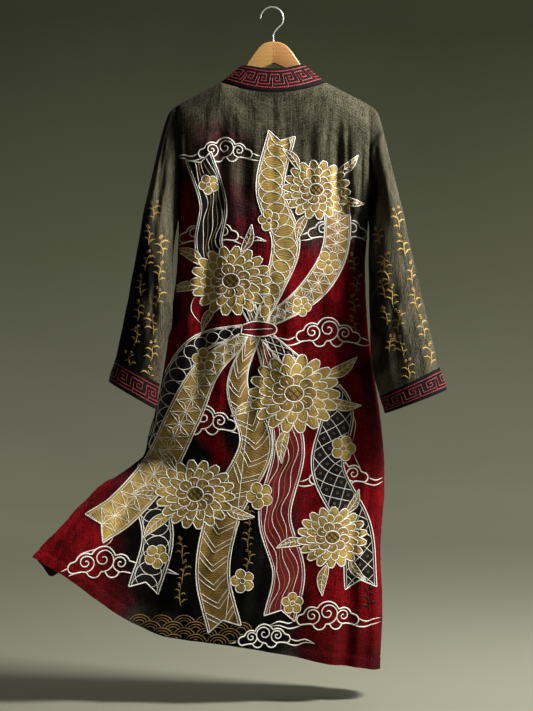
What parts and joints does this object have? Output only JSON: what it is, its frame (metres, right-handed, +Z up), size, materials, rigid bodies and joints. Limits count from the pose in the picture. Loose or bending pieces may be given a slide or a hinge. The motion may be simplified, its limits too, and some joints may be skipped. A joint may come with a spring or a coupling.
{
  "type": "kimono robe on a wooden hanger",
  "caption": "Long open-fronted kimono robe, dyed and embroidered, hanging from a wooden hanger's wire hook, with its hem swung out to one side.",
  "frame": {"origin": "top of the inside of the hanger's hook, where it hangs on a rail or peg, in the plane of the robe's centre back", "axes": "+Z up, +Y to the wearer's front, +X to the wearer's right"},
  "size_m": [0.8808, 0.2427, 1.4443],
  "materials": {
    "body_cloth": "coarse linen, dyed from charcoal to crimson and black",
    "sleeve_cloth": "coarse charcoal linen",
    "band_cloth": "black cloth embroidered with a red key fret",
    "hanger_wood": "satin varnish",
    "hook_steel": "polished"
  },
  "bodies": {
    "root": {"back_left": "body_cloth", "back_right": "body_cloth", "front_left": "body_cloth", "front_right": "body_cloth", "sleeve_left": "sleeve_cloth", "sleeve_right": "sleeve_cloth", "cuff_left": "band_cloth", "cuff_right": "band_cloth", "neckband": "band_cloth", "hanger": "hanger_wood", "hook": "hook_steel"}
  },
  "joints": []
}
